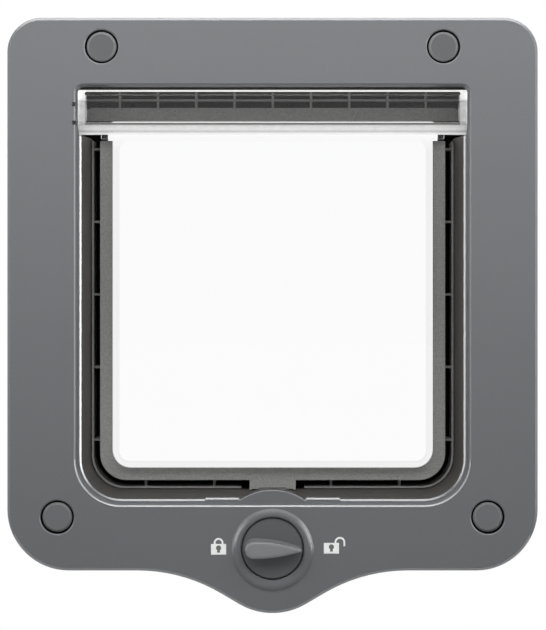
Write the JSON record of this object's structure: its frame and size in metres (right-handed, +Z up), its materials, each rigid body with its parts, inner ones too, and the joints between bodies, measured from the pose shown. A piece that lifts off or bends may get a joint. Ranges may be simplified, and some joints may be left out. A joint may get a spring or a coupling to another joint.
{
  "type": "cat flap",
  "caption": "Cat flap with a clear hooded swing panel in a ribbed surround, clamped through a door by an inner and an outer frame and locked by a turn knob that lifts a forked bolt.",
  "frame": {"origin": "middle of the flap opening, on the plane of the door's room-side face", "axes": "+Z up the door, +Y through the door to the outdoors, +X to the right as seen from the room"},
  "size_m": [0.225, 0.0661, 0.2526],
  "materials": {
    "frame_plastic": "satin moulded plastic",
    "surround_plastic": "matt moulded plastic",
    "clear_plastic": "clear polished plastic",
    "knob_plastic": "satin moulded plastic",
    "lock_plastic": "matt moulded plastic",
    "screw_steel": "zinc plated"
  },
  "bodies": {
    "frame": {"inner_frame": "frame_plastic", "flap_surround": "surround_plastic", "outer_frame": "frame_plastic", "lock_cover": "lock_plastic", "cover_screws": "screw_steel", "frame_screws": "screw_steel", "screw_plug_top_left": "frame_plastic", "screw_plug_top_right": "frame_plastic", "screw_plug_bottom_left": "frame_plastic", "screw_plug_bottom_right": "frame_plastic"},
    "flap": {"flap": "clear_plastic"},
    "knob": {"lock_knob": "knob_plastic", "lock_cam": "lock_plastic", "cam_screw": "screw_steel"},
    "bolt": {"lock_bolt": "lock_plastic"}
  },
  "joints": [
    {"name": "flap_swing", "type": "hinge", "parent": "frame", "child": "flap", "pos_m": [0, -0.001, 0.0788], "axis": [1, 0, 0], "range_deg": [-85, 70]},
    {"name": "knob_turn", "type": "hinge", "parent": "frame", "child": "knob", "pos_m": [0, -0.016, -0.1073], "axis": [0, -1, 0], "range_deg": [0, 180]},
    {"name": "bolt_lift", "type": "slide", "parent": "frame", "child": "bolt", "axis": [0, 0, 1], "range_m": [0, 0.012]}
  ],
  "couplings": [
    {"joint": "bolt_lift", "follows": "knob_turn", "m_per_rad": 0.0038197}
  ]
}
